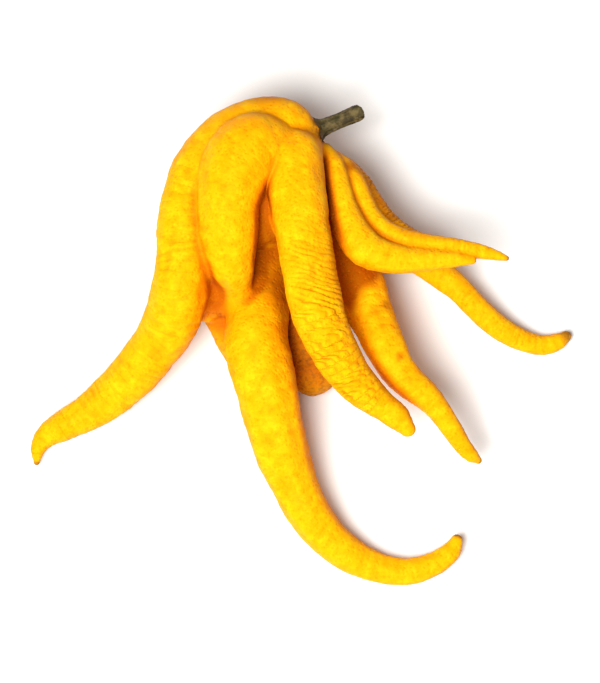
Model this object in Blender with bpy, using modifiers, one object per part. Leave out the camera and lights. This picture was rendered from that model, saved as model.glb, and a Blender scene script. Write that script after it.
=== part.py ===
"""Buddha's hand citron, one picked fruit lying on its back.

The fruit is drawn hanging from its stalk, in millimetres:
    across   to the right
    back     away from the side with the curled finger
    up       toward the stalk
and is then laid down about the across axis, so that its back rests on the
ground plane z = 0 and the stalk points to +Y.
"""
import math

import bmesh
import bpy
from mathutils import Matrix, Vector

MM = 0.001

# ---------------------------------------------------------------- sizes (mm)
LAY_DOWN = math.radians(-80.0)   # turn about the across axis, hanging to lying
FLAT_DEPTH = 1.0                 # how far the lowest lobes are pressed flat
STEP = 2.5                       # spacing of the rings along a finger
VOXEL = 2.0                      # grain of the fused skin
SMOOTH_TURNS = 4
KEEP = 0.15                      # share of the fused skin's faces that is kept
GAP = 0.3                        # clearance between touching pieces

SEAT = (8.0, -0.2, 81.2)         # middle of the stalk's seat on the crown
SEAT_AXIS = (0.92, 0.06, 0.38)   # the way the stalk leaves the crown
SEAT_RADIUS = 6.1
CALYX_RADIUS = 5.0
CALYX_LOBE = 0.7                 # how far the five lobes stand out
CALYX_THICK = 1.8
STALK_RADIUS = 3.0
STALK_LENGTH = 14.0
STALK_BEND = 2.0                 # sideways bow of the stalk
STALK_CUT = math.radians(24.0)   # slant of the cut end

# Guide points (across, back, up, radius) of every finger, root to tip.
FINGERS = {
    "left": [
        (1.2, -1, 78.8, 7.6), (-5, -3, 83, 9.3), (-13, -1, 83, 10.4), (-25.7, -2, 76.5, 12.4),
        (-37.7, -5.5, 63.9, 11.9), (-44.1, -8.5, 46, 10.3), (-45, -9.5, 28, 10.5), (-47.1, -6, 13, 11.1),
        (-52.5, 0.5, 1.5, 10.6), (-64, 7, -13.5, 9.2), (-80, 11.5, -27.5, 7.5), (-93, 13, -34.5, 5.7),
        (-99, 13.5, -38.5, 4.2), (-101.5, 12.5, -43, 2.9), (-102, 12, -48, 1.2),
    ],
    "curl": [
        (-2, -6, 71.5, 7.5), (-9.5, -9, 74, 10.4), (-17.5, -12.5, 72.6, 14), (-23.8, -14.8, 65.5, 14.1),
        (-26.6, -16.8, 55, 12.4), (-27.1, -16.8, 45, 11.4), (-26.8, -14.5, 36, 10.6), (-26, -11.5, 29, 9),
        (-24.3, -5, 22.5, 6.6), (-23.5, 0, 15.5, 5.6),
    ],
    "web": [
        (-30, -1.5, 33, 8.5), (-32.5, 1.5, 25, 8), (-33, 5, 17, 7.4), (-36, 8, 11.5, 4.8),
    ],
    "long": [
        (-5.5, 8.5, 67, 9.7), (-11, 13, 50, 10.2), (-13.5, 14, 35, 10.5), (-15.5, 11.5, 23, 11.4),
        (-16, 4.5, 11, 12.2), (-16.5, -3, -1, 12.5), (-13, -8, -17, 11.9), (-9, -6.5, -35.5, 10.9),
        (-3, -3, -53, 9.4), (5, -0.5, -69, 8.2), (16.5, 2, -81.5, 7), (29, 3.5, -88, 5.8), (42.5, 4, -90, 5.2),
        (52.5, 4.5, -87, 4.6), (59, 4, -82, 3.7), (61, 3, -78, 2.4),
    ],
    "front": [
        (2, -7, 72.8, 7.2), (-1.5, -12, 70, 10.6), (-1, -16.5, 59, 11.3), (0.5, -20, 47, 11),
        (2.5, -22.3, 34.5, 10.6), (5, -24, 20.5, 10.5), (8.5, -25, 6.5, 10.2), (14, -24, -5.5, 9),
        (21, -21.5, -15.5, 7.7), (27.5, -19.5, -22, 6.7), (33, -18.5, -26.3, 5.4), (37.5, -18, -30, 5),
        (41.5, -17.5, -34.5, 3.2),
    ],
    "right_low": [
        (9.5, -1.5, 71, 4.8), (13, -5.5, 66, 5), (15, -9, 58, 5.2), (17, -11.5, 49.5, 5.8),
        (20.3, -13, 41.5, 6.7), (25.5, -14, 34.8, 7.3), (32, -14, 31.9, 6.5), (39.5, -13.5, 30.5, 5.4),
        (51.5, -12.5, 30.5, 4.1), (60.5, -11.5, 30.5, 2.9), (66.5, -10.5, 30.2, 1.6),
    ],
    "right_top": [
        (11, 2, 69, 5), (16.5, -1, 66, 4.8), (20.8, -4, 60.5, 4.6), (24.8, -6.5, 50.5, 4.9),
        (30.5, -8.5, 42.8, 4.8), (40.5, -9.5, 38, 4.5), (51.5, -9, 36, 4.1), (61.5, -8.5, 35, 3.6),
        (70.5, -8, 33.5, 2.8), (76.5, -7.5, 32, 1.9), (80, -7, 31, 1),
    ],
    "ridge": [
        (11, 6, 66, 5.5), (17, 4.5, 65, 5.6), (22.8, 2.5, 59.5, 5.4), (27.6, 0.5, 53, 4.8),
        (33, -1.5, 46.6, 4.2), (39.5, -4, 41.8, 3.4), (46, -6, 38.6, 2.8), (53, -7, 36.6, 2.2),
    ],
    "far_right": [
        (11, 11, 64.5, 7.3), (20, 12.5, 55.5, 7.6), (30.5, 13, 44.25, 7), (44, 13, 33.25, 6.2),
        (53, 13.5, 26.75, 5.7), (60.5, 14, 20.75, 5.2), (68.5, 15, 12.75, 4.9), (77.5, 17, 4.75, 4.7),
        (86.5, 19, -0.3, 4.3), (95, 20.5, -2.4, 3.9), (101, 20.5, -1, 3.3), (104, 20.5, 1, 2.2),
    ],
    "lower_right": [
        (7.5, 12, 66, 8.1), (12, 13, 53.5, 9.7), (16.5, 9, 40, 9.7), (22.5, 3, 25, 9.4), (28, -3, 10, 8.3),
        (32.5, -7, -1.5, 8), (37.5, -9, -11, 7.2), (44, -9.5, -18, 6.2), (50.5, -9, -23.5, 5.3),
        (55, -8, -29, 4.4), (59, -6, -35, 4.1), (63, -4, -41, 3.5), (66.5, -2, -45, 2.8), (69.3, 0, -46.9, 1.4),
    ],
    "back_mid": [
        (0.5, 12, 71.5, 8.6), (-3.5, 22, 60, 11.3), (-4, 20.5, 40.5, 11.3), (0, 17.5, 18.5, 10.8),
        (4, 14.5, 0, 10.3), (5.5, 13.5, -12.5, 9.5),
    ],
    "back_left": [
        (-5.5, 11, 76.5, 9.2), (-17.5, 19, 72.5, 11.3), (-29, 22, 61, 12.1), (-34.5, 21, 43.5, 11.4),
        (-33, 19, 26, 10.2), (-28.5, 16.5, 10, 8.9), (-21.5, 15, -5.5, 7.6), (-14.5, 13.5, -19.5, 6.5),
        (-10, 12.5, -31.5, 5), (-6.5, 12, -40, 2.8),
    ],
    "back_right": [
        (6.5, 15, 67.5, 8.6), (12, 22.5, 54.5, 10.3), (16, 21.5, 37, 9.9), (21, 19, 20, 8.6),
        (27.5, 17, 5.5, 6.9), (32.5, 15.5, -5.5, 5.4), (36.5, 14.5, -13, 3.2),
    ],
}

# Flesh of the palm that joins the finger roots (across, back, up, radius).
PALM = [(-17, 2, 67.5, 22.1), (-15, 5.5, 54, 19.4), (-8.5, 5.5, 67.5, 16.7), (-13.5, -5, 66, 15.1)]

COLOURS = {
    "fruit": ((0.93, 0.50, 0.012, 1.0), 0.42),
    "calyx": ((0.10, 0.12, 0.018, 1.0), 0.60),
    "stem": ((0.075, 0.065, 0.015, 1.0), 0.65),
}


# ------------------------------------------------------------------- helpers
def clear_scene():
    for ob in list(bpy.context.scene.objects):
        bpy.data.objects.remove(ob, do_unlink=True)


def collection(name):
    coll = bpy.data.collections.new(name)
    bpy.context.scene.collection.children.link(coll)
    return coll


def material(name):
    colour, rough = COLOURS[name]
    mat = bpy.data.materials.new(name)
    mat.use_nodes = True
    bsdf = mat.node_tree.nodes["Principled BSDF"]
    bsdf.inputs["Base Color"].default_value = colour
    bsdf.inputs["Roughness"].default_value = rough
    bsdf.inputs["Metallic"].default_value = 0.0
    mat.diffuse_color = colour
    return mat


def frame_on(point, axis):
    """Matrix whose Z runs along axis and whose origin is point, in metres."""
    turn = Vector(axis).normalized().to_track_quat('Z', 'Y').to_matrix().to_4x4()
    return Matrix.Translation(Vector(point) * MM) @ turn


def centre_line(guides, step):
    """Centripetal Catmull-Rom curve through rows of (x, y, z, radius)."""
    rows = [Vector(g) for g in guides]
    rows.insert(0, rows[0] * 2 - rows[1])
    rows.append(rows[-1] * 2 - rows[-2])
    rows[0][3], rows[-1][3] = rows[1][3], rows[-2][3]

    def knot(a, b):
        return max((a.xyz - b.xyz).length, 1e-6) ** 0.5

    out = []
    for p0, p1, p2, p3 in zip(rows, rows[1:], rows[2:], rows[3:]):
        t0 = 0.0
        t1 = t0 + knot(p0, p1)
        t2 = t1 + knot(p1, p2)
        t3 = t2 + knot(p2, p3)
        count = max(1, round((p2.xyz - p1.xyz).length / step))
        for k in range(count):
            t = t1 + (t2 - t1) * k / count
            a1 = p0 * ((t1 - t) / (t1 - t0)) + p1 * ((t - t0) / (t1 - t0))
            a2 = p1 * ((t2 - t) / (t2 - t1)) + p2 * ((t - t1) / (t2 - t1))
            a3 = p2 * ((t3 - t) / (t3 - t2)) + p3 * ((t - t2) / (t3 - t2))
            b1 = a1 * ((t2 - t) / (t2 - t0)) + a2 * ((t - t0) / (t2 - t0))
            b2 = a2 * ((t3 - t) / (t3 - t1)) + a3 * ((t - t1) / (t3 - t1))
            out.append(b1 * ((t2 - t) / (t2 - t1)) + b2 * ((t - t1) / (t2 - t1)))
    out.append(rows[-2])
    return out


def mesh_of_curve(curve, name):
    """Mesh of a bevelled curve with its caps welded on; the curve is removed."""
    ob = bpy.data.objects.new(name, curve)
    bpy.context.scene.collection.objects.link(ob)
    depsgraph = bpy.context.evaluated_depsgraph_get()
    mesh = bpy.data.meshes.new_from_object(ob.evaluated_get(depsgraph))
    bpy.data.objects.remove(ob, do_unlink=True)
    bpy.data.curves.remove(curve)
    bm = bmesh.new()
    bm.from_mesh(mesh)
    bmesh.ops.remove_doubles(bm, verts=bm.verts, dist=0.00001)
    bmesh.ops.recalc_face_normals(bm, faces=bm.faces)
    bm.to_mesh(mesh)
    bm.free()
    mesh.name = name
    return mesh


def tube(points, name, resolution):
    """Closed tube along (x, y, z, radius) points in millimetres."""
    curve = bpy.data.curves.new(name, 'CURVE')
    curve.dimensions = '3D'
    curve.bevel_depth = MM
    curve.bevel_resolution = resolution
    curve.use_fill_caps = True
    spline = curve.splines.new('POLY')
    spline.points.add(len(points) - 1)
    for sp, p in zip(spline.points, points):
        sp.co = (p[0] * MM, p[1] * MM, p[2] * MM, 1.0)
        sp.radius = p[3]
    return mesh_of_curve(curve, name)


def add_ball(bm, centre, radius):
    bmesh.ops.create_uvsphere(
        bm, u_segments=20, v_segments=12, radius=radius * MM,
        matrix=Matrix.Translation(Vector(centre) * MM))


def new_object(name, mesh, coll, parent=None):
    ob = bpy.data.objects.new(name, mesh)
    coll.objects.link(ob)
    ob.parent = parent
    return ob


def finish(ob, name):
    ob.data.materials.clear()
    ob.data.materials.append(material(name))
    ob.data.shade_smooth()


def cutter(name, mesh, coll, parent=None):
    ob = new_object(name, mesh, coll, parent)
    ob.hide_render = True
    ob.display_type = 'WIRE'
    return ob


def cut(ob, tool):
    mod = ob.modifiers.new("cut_" + tool.name, 'BOOLEAN')
    mod.operation = 'DIFFERENCE'
    mod.solver = 'EXACT'
    mod.object = tool


def bounds(obs):
    """Lowest and highest corner of the evaluated objects in world space."""
    depsgraph = bpy.context.evaluated_depsgraph_get()
    low = Vector((1e9, 1e9, 1e9))
    high = -low
    for ob in obs:
        ev = ob.evaluated_get(depsgraph)
        mesh = ev.to_mesh()
        for v in mesh.vertices:
            p = ob.matrix_world @ v.co
            low = Vector(map(min, low, p))
            high = Vector(map(max, high, p))
        ev.to_mesh_clear()
    return low, high


# -------------------------------------------------------------------- pieces
def make_fruit(coll, parent):
    """All fingers and the palm fused into one skin."""
    bm = bmesh.new()
    for name, guides in FINGERS.items():
        line = centre_line(guides, STEP)
        skin = tube(line, name, 5)
        bm.from_mesh(skin)
        bpy.data.meshes.remove(skin)
        add_ball(bm, line[0].xyz, line[0][3] * 0.98)
        add_ball(bm, line[-1].xyz, line[-1][3] * 0.98)
    for x, y, z, r in PALM:
        add_ball(bm, (x, y, z), r)
    mesh = bpy.data.meshes.new("fruit")
    bm.to_mesh(mesh)
    bm.free()
    ob = new_object("fruit", mesh, coll, parent)
    finish(ob, "fruit")
    fuse = ob.modifiers.new("fuse", 'REMESH')
    fuse.mode = 'VOXEL'
    fuse.voxel_size = VOXEL * MM
    fuse.use_smooth_shade = True
    soften = ob.modifiers.new("soften", 'SMOOTH')
    soften.factor = 0.5
    soften.iterations = SMOOTH_TURNS
    thin = ob.modifiers.new("thin", 'DECIMATE')
    thin.ratio = KEEP
    return ob


def make_calyx(coll, parent):
    """Five-lobed calyx lying in its seat on the crown."""
    curve = bpy.data.curves.new("calyx", 'CURVE')
    curve.dimensions = '2D'
    curve.fill_mode = 'BOTH'
    edge = 0.35
    curve.bevel_depth = edge * MM
    curve.bevel_resolution = 1
    curve.extrude = (CALYX_THICK / 2 - edge) * MM
    spline = curve.splines.new('POLY')
    count = 40
    spline.points.add(count - 1)
    for k in range(count):
        a = 2 * math.pi * k / count
        r = CALYX_RADIUS - edge + CALYX_LOBE * math.cos(5 * a)
        spline.points[k].co = (r * math.cos(a) * MM, r * math.sin(a) * MM, 0, 1)
    spline.use_cyclic_u = True
    mesh = mesh_of_curve(curve, "calyx")
    ob = new_object("calyx", mesh, coll, parent)
    ob.matrix_local = frame_on(SEAT, SEAT_AXIS) @ Matrix.Translation((0, 0, (GAP + CALYX_THICK / 2) * MM))
    finish(ob, "calyx")
    ob.data.set_sharp_from_angle(angle=math.radians(40))
    return ob


def make_stem(coll, parent):
    """Cut stalk standing on the calyx, with a slanted end."""
    foot = GAP * 2 + CALYX_THICK
    points = []
    count = 9
    for k in range(count):
        t = k / (count - 1)
        flare = 1 + 0.16 * math.exp(-6 * t) + 0.10 * t ** 3
        points.append((-STALK_BEND * t * t, 0.0, foot + (STALK_LENGTH + 2) * t, STALK_RADIUS * flare))
    mesh = tube(points, "stem", 5)
    bm = bmesh.new()
    bm.from_mesh(mesh)
    top = Vector((-STALK_BEND, 0, foot + STALK_LENGTH)) * MM
    slant = Vector((math.sin(STALK_CUT), 0, math.cos(STALK_CUT)))
    cut_edge = bmesh.ops.bisect_plane(
        bm, geom=bm.verts[:] + bm.edges[:] + bm.faces[:], plane_co=top, plane_no=slant, clear_outer=True)
    rim = [e for e in cut_edge["geom_cut"] if isinstance(e, bmesh.types.BMEdge)]
    bmesh.ops.edgeloop_fill(bm, edges=rim)
    bmesh.ops.recalc_face_normals(bm, faces=bm.faces)
    bm.to_mesh(mesh)
    bm.free()
    ob = new_object("stem", mesh, coll, parent)
    ob.matrix_local = frame_on(SEAT, SEAT_AXIS)
    finish(ob, "stem")
    ob.data.set_sharp_from_angle(angle=math.radians(40))
    return ob


def main():
    clear_scene()
    parts = collection("buddhas_hand_citron")
    tools = collection("cutters")

    pose = bpy.data.objects.new("laid_down", None)
    parts.objects.link(pose)
    pose.rotation_euler = (LAY_DOWN, 0.0, 0.0)

    fruit = make_fruit(parts, pose)
    calyx = make_calyx(parts, pose)
    stem = make_stem(parts, pose)

    # Seat for the calyx, sunk to a flat floor.
    bm = bmesh.new()
    bmesh.ops.create_cone(bm, cap_ends=True, segments=36, radius1=SEAT_RADIUS * MM,
                          radius2=(SEAT_RADIUS + 2.5) * MM, depth=12 * MM)
    mesh = bpy.data.meshes.new("seat_cutter")
    bm.to_mesh(mesh)
    bm.free()
    seat = cutter("seat_cutter", mesh, tools, pose)
    seat.matrix_local = frame_on(SEAT, SEAT_AXIS) @ Matrix.Translation((0, 0, 6 * MM))
    cut(fruit, seat)

    # Set the fruit down: middle of its outline over the origin, the lowest
    # lobes pressed flat on z = 0.
    bpy.context.view_layer.update()
    low, high = bounds([fruit, calyx, stem])
    pose.location = (-(low.x + high.x) / 2, -(low.y + high.y) / 2, -low.z - FLAT_DEPTH * MM)

    bm = bmesh.new()
    bmesh.ops.create_cube(bm, size=1.0, matrix=Matrix.Diagonal((0.4, 0.4, 0.03, 1.0)))
    mesh = bpy.data.meshes.new("ground_cutter")
    bm.to_mesh(mesh)
    bm.free()
    ground = cutter("ground_cutter", mesh, tools)
    ground.location = (0, 0, -0.015)
    cut(fruit, ground)
    bpy.context.view_layer.update()


main()
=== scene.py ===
"""Looks of the Buddha's hand citron: the rind as one fine skin over the fingers, its calyx and cut stalk."""

import math

import bpy
import numpy as np
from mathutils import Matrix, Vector


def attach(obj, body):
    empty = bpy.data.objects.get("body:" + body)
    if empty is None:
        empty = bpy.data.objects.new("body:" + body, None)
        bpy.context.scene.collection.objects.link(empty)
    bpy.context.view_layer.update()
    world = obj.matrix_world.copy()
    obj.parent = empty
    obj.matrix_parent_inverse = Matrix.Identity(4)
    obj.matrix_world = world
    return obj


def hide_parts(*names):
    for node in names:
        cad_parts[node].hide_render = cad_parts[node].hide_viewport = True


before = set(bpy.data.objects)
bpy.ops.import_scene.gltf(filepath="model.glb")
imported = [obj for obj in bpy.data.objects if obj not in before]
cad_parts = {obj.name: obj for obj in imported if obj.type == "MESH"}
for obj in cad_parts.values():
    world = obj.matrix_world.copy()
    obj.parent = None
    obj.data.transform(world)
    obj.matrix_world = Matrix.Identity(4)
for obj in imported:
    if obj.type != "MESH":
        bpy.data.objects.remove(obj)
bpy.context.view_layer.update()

# ------------------------------------------------------------------ sizes (mm)
GRAIN = 0.66          # cell of the skin's grid
FACES = 196000                          # triangles that the skin may have
LAY_DOWN = math.radians(-80.0)
REST = np.array([-0.362, 0.733, 23.530])  # where the laid-down fruit stands in the row frame
SEAT = np.array([8.0, -0.2, 81.2])
SEAT_AXIS = np.array([0.92, 0.06, 0.38])
STALK_FOOT = 2.4
STALK_RADIUS = 3.0
STALK_LENGTH = 14.0
STALK_BEND = 2.0
STALK_CUT = math.radians(24.0)

FINGERS = {
    "left": [
        (1.2, -1, 78.8, 7.6), (-5, -3, 83, 9.3), (-13, -1, 83, 10.4), (-25.7, -2, 76.5, 12.4),
        (-37.7, -5.5, 63.9, 11.9), (-44.1, -8.5, 46, 10.3), (-45, -9.5, 28, 10.5), (-47.1, -6, 13, 11.1),
        (-52.5, 0.5, 1.5, 10.6), (-64, 7, -13.5, 9.2), (-80, 11.5, -27.5, 7.5), (-93, 13, -34.5, 5.7),
        (-99, 13.5, -38.5, 4.2), (-101.5, 12.5, -43, 2.9), (-102, 12, -48, 1.2),
    ],
    "curl": [
        (-2, -6, 71.5, 7.5), (-9.5, -9, 74, 10.4), (-17.5, -12.5, 72.6, 14), (-23.8, -14.8, 65.5, 14.1),
        (-26.6, -16.8, 55, 12.4), (-27.1, -16.8, 45, 11.4), (-26.8, -14.5, 36, 10.6), (-26, -11.5, 29, 9),
        (-24.3, -5, 22.5, 6.6), (-23.5, 0, 15.5, 5.6),
    ],
    "web": [
        (-30, -1.5, 33, 8.5), (-32.5, 1.5, 25, 8), (-33, 5, 17, 7.4), (-36, 8, 11.5, 4.8),
    ],
    "long": [
        (-5.5, 8.5, 67, 9.7), (-11, 13, 50, 10.2), (-13.5, 14, 35, 10.5), (-15.5, 11.5, 23, 11.4),
        (-16, 4.5, 11, 12.2), (-16.5, -3, -1, 12.5), (-13, -8, -17, 11.9), (-9, -6.5, -35.5, 10.9),
        (-3, -3, -53, 9.4), (5, -0.5, -69, 8.2), (16.5, 2, -81.5, 7), (29, 3.5, -88, 5.8), (42.5, 4, -90, 5.2),
        (52.5, 4.5, -87, 4.6), (59, 4, -82, 3.7), (61, 3, -78, 2.4),
    ],
    "front": [
        (2, -7, 72.8, 7.2), (-1.5, -12, 70, 10.6), (-1, -16.5, 59, 11.3), (0.5, -20, 47, 11),
        (2.5, -22.3, 34.5, 10.6), (5, -24, 20.5, 10.5), (8.5, -25, 6.5, 10.2), (14, -24, -5.5, 9),
        (21, -21.5, -15.5, 7.7), (27.5, -19.5, -22, 6.7), (33, -18.5, -26.3, 5.4), (37.5, -18, -30, 5),
        (41.5, -17.5, -34.5, 3.2),
    ],
    "right_low": [
        (9.5, -1.5, 71, 4.8), (13, -5.5, 66, 5), (15, -9, 58, 5.2), (17, -11.5, 49.5, 5.8),
        (20.3, -13, 41.5, 6.7), (25.5, -14, 34.8, 7.3), (32, -14, 31.9, 6.5), (39.5, -13.5, 30.5, 5.4),
        (51.5, -12.5, 30.5, 4.1), (60.5, -11.5, 30.5, 2.9), (66.5, -10.5, 30.2, 1.6),
    ],
    "right_top": [
        (11, 2, 69, 5), (16.5, -1, 66, 4.8), (20.8, -4, 60.5, 4.6), (24.8, -6.5, 50.5, 4.9),
        (30.5, -8.5, 42.8, 4.8), (40.5, -9.5, 38, 4.5), (51.5, -9, 36, 4.1), (61.5, -8.5, 35, 3.6),
        (70.5, -8, 33.5, 2.8), (76.5, -7.5, 32, 1.9), (80, -7, 31, 1),
    ],
    "ridge": [
        (11, 6, 66, 5.5), (17, 4.5, 65, 5.6), (22.8, 2.5, 59.5, 5.4), (27.6, 0.5, 53, 4.8),
        (33, -1.5, 46.6, 4.2), (39.5, -4, 41.8, 3.4), (46, -6, 38.6, 2.8), (53, -7, 36.6, 2.2),
    ],
    "far_right": [
        (11, 11, 64.5, 7.3), (20, 12.5, 55.5, 7.6), (30.5, 13, 44.25, 7), (44, 13, 33.25, 6.2),
        (53, 13.5, 26.75, 5.7), (60.5, 14, 20.75, 5.2), (68.5, 15, 12.75, 4.9), (77.5, 17, 4.75, 4.7),
        (86.5, 19, -0.3, 4.3), (95, 20.5, -2.4, 3.9), (101, 20.5, -1, 3.3), (104, 20.5, 1, 2.2),
    ],
    "lower_right": [
        (7.5, 12, 66, 8.1), (12, 13, 53.5, 9.7), (16.5, 9, 40, 9.7), (22.5, 3, 25, 9.4), (28, -3, 10, 8.3),
        (32.5, -7, -1.5, 8), (37.5, -9, -11, 7.2), (44, -9.5, -18, 6.2), (50.5, -9, -23.5, 5.3),
        (55, -8, -29, 4.4), (59, -6, -35, 4.1), (63, -4, -41, 3.5), (66.5, -2, -45, 2.8), (69.3, 0, -46.9, 1.4),
    ],
    "back_mid": [
        (0.5, 12, 71.5, 8.6), (-3.5, 22, 60, 11.3), (-4, 20.5, 40.5, 11.3), (0, 17.5, 18.5, 10.8),
        (4, 14.5, 0, 10.3), (5.5, 13.5, -12.5, 9.5),
    ],
    "back_left": [
        (-5.5, 11, 76.5, 9.2), (-17.5, 19, 72.5, 11.3), (-29, 22, 61, 12.1), (-34.5, 21, 43.5, 11.4),
        (-33, 19, 26, 10.2), (-28.5, 16.5, 10, 8.9), (-21.5, 15, -5.5, 7.6), (-14.5, 13.5, -19.5, 6.5),
        (-10, 12.5, -31.5, 5), (-6.5, 12, -40, 2.8),
    ],
    "back_right": [
        (6.5, 15, 67.5, 8.6), (12, 22.5, 54.5, 10.3), (16, 21.5, 37, 9.9), (21, 19, 20, 8.6),
        (27.5, 17, 5.5, 6.9), (32.5, 15.5, -5.5, 5.4), (36.5, 14.5, -13, 3.2),
    ],
}
PALM = [(-17, 2, 67.5, 22.1), (-15, 5.5, 54, 19.4), (-8.5, 5.5, 67.5, 16.7), (-13.5, -5, 66, 15.1)]
NAMES = list(FINGERS)

# Wrinkles across a finger: from and to as shares of its length, depth in mm,
# spacing in mm, the side they are deepest on (0 up, 90 right), how far round
# they reach, both in degrees, how strongly they slant, and how plain they are.
WRINKLES = {
    "front": (0.20, 0.90, 0.40, 2.15, 44, 118, -0.50, 0.76),
    "left": (0.12, 1.02, 0.22, 3.1, 0, 180, 0.10, 0.28),
    "curl": (0.10, 0.62, 0.12, 2.9, -10, 150, 0.0, 0.16),
    "web": (0.30, 1.02, 0.16, 2.2, 0, 180, 0.4, 0.5),
    "long": (0.16, 1.02, 0.08, 3.2, 0, 180, 0.15, 0.08),
    "lower_right": (0.28, 1.02, 0.10, 2.7, 10, 180, -0.25, 0.14),
    "far_right": (0.30, 1.02, 0.10, 2.6, 40, 180, 0.20, 0.20),
    "right_low": (0.12, 0.98, 0.06, 2.9, 0, 180, 0.0, 0.12),
    "right_top": (0.10, 1.00, 0.10, 2.6, 40, 180, 0.0, 0.22),
    "ridge": (0.02, 1.00, 0.26, 2.0, 40, 180, 0.0, 0.9),
    "back_mid": (0.20, 1.02, 0.24, 2.9, 0, 180, 0.0, 0.6),
    "back_left": (0.20, 1.02, 0.22, 3.0, 0, 180, 0.0, 0.5),
    "back_right": (0.20, 1.02, 0.22, 2.8, 0, 180, 0.0, 0.5),
}

# How far round, in degrees, a finger's wrinkled side has worked by its tip.
WANDER = {"front": -62}

# How much of each tip has dried brown, in mm.
DRY_TIP = {"left": 3.2, "curl": 0, "web": 0, "long": 3.0, "front": 0, "right_low": 1.6, "right_top": 2.6, "ridge": 0,
           "far_right": 6.2, "lower_right": 2.8, "back_mid": 0, "back_left": 3.2, "back_right": 3.2}


# Fingers that stand in the light: how much less of the painted hollow shade they get.
LONE = {"right_low": 0.85, "right_top": 0.85, "ridge": 0.6, "front": 0.7, "left": 0.6, "curl": 0.3, "far_right": 1.0}

# Spots of painted shade in pockets, valleys, on the crown's top and the stub, and three small brownish blotches on the
# lower right finger; a negative strength takes painted shade away: centre, reach and strength.
SHADE_AND_BLOTCH_SPOTS = [(-32.5, -4, 20, 7.5, 0.52), (-33, -13, 28, 5.5, 0.30), (-31, 8, 4, 6.5, 0.40), (-33.5, 0, 12.5, 6, 0.26),
         (-30, -13, 80, 5.5, 0.22), (-36, -15, 70.6, 6, 0.26), (-38.4, -17, 59, 6, 0.28),
         (-38.6, -17, 46, 6, 0.27), (-38.2, -16, 35, 6, 0.24), (-7, -7, 8, 8, -0.30),
         (20, -2, 31, 12, 0.26), (22, -6, 22, 8, 0.24),
         (-12, -4, 28, 10, 0.12), (5, 5, -10, 13, 0.50), (-12, -3, 93, 12, 0.40), (38.7, -14.6, -6.7, 3.0, 0.42),
         (29, -11, 10.5, 3.5, 0.32), (33.3, -7.7, 12.6, 3.2, 0.42),
         (17.5, -7, 66, 4, 0.42), (18.8, -8.5, 60, 3, 0.38), (20, -10, 55, 3, 0.38), (21.5, -11.5, 50, 3, 0.36),
         (24, -12, 45.5, 3, 0.34), (27.5, -13, 41, 3.2, 0.30),
         (22.5, -3, 66, 4.5, 0.42), (28, -3.5, 60, 4, 0.40), (32, -4, 53.5, 3.8, 0.40), (37, -5.5, 47.5, 3.5, 0.40),
         (43.5, -7, 42.5, 3.2, 0.36)]

# Painted light: fingers that should stand brighter in the light get a paler, more lemon yellow.
PAINTED_LIGHT_PALER = {"right_low": 1.0, "right_top": 0.8, "left": 0.3, "curl": 0.0, "front": 0.3, "lower_right": 0.6, "long": 0.55,
         "far_right": 0.4}

# How much darker orange-brown a finger's skin is: weathered skin, and painted shade on the ridge and the back fingers,
# which lie in shade.
WORN_AND_SHADED = {"ridge": 0.9, "back_mid": 0.75, "back_left": 0.25, "back_right": 0.2}


# ----------------------------------------------------------------------- maths
def smoothstep(a, b, x):
    t = np.clip((x - a) / (b - a), 0.0, 1.0)
    return t * t * (3 - 2 * t)


def laid(points):
    """Hanging (across, back, up) in mm to the row frame in mm."""
    p = np.atleast_2d(np.asarray(points, float))
    c, s = math.cos(LAY_DOWN), math.sin(LAY_DOWN)
    out = p.copy()
    out[:, 1] = p[:, 1] * c - p[:, 2] * s
    out[:, 2] = p[:, 1] * s + p[:, 2] * c
    return out


def centre_line(guides, step):
    """Centripetal Catmull-Rom curve through rows of (x, y, z, radius)."""
    rows = np.asarray(guides, float)
    first = 2 * rows[0] - rows[1]
    last = 2 * rows[-1] - rows[-2]
    first[3], last[3] = rows[0, 3], rows[-1, 3]
    rows = np.vstack([first, rows, last])
    out = []
    for i in range(1, len(rows) - 2):
        p0, p1, p2, p3 = rows[i - 1:i + 3]
        t0 = 0.0
        t1 = t0 + max(np.linalg.norm((p1 - p0)[:3]), 1e-6) ** 0.5
        t2 = t1 + max(np.linalg.norm((p2 - p1)[:3]), 1e-6) ** 0.5
        t3 = t2 + max(np.linalg.norm((p3 - p2)[:3]), 1e-6) ** 0.5
        count = max(1, int(round(np.linalg.norm((p2 - p1)[:3]) / step)))
        for t in np.linspace(t1, t2, count, endpoint=False):
            a1 = p0 * (t1 - t) / (t1 - t0) + p1 * (t - t0) / (t1 - t0)
            a2 = p1 * (t2 - t) / (t2 - t1) + p2 * (t - t1) / (t2 - t1)
            a3 = p2 * (t3 - t) / (t3 - t2) + p3 * (t - t2) / (t3 - t2)
            b1 = a1 * (t2 - t) / (t2 - t0) + a2 * (t - t0) / (t2 - t0)
            b2 = a2 * (t3 - t) / (t3 - t1) + a3 * (t - t1) / (t3 - t1)
            out.append(b1 * (t2 - t) / (t2 - t1) + b2 * (t - t1) / (t2 - t1))
    out.append(rows[-2])
    return np.array(out)


def lattice(ix, iy, iz, seed):
    """Pseudo-random 0..1 at whole-number lattice points."""
    h = (ix.astype(np.int64) * 73856093) ^ (iy.astype(np.int64) * 19349663) ^ (iz.astype(np.int64) * 83492791)
    h = (h + seed * 2654435761) & 0xFFFFFFFF
    h = ((h ^ (h >> 16)) * 0x45D9F3B) & 0xFFFFFFFF
    h = ((h ^ (h >> 16)) * 0x45D9F3B) & 0xFFFFFFFF
    h = h ^ (h >> 16)
    return (h & 0xFFFFFF) / float(0xFFFFFF)


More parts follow.
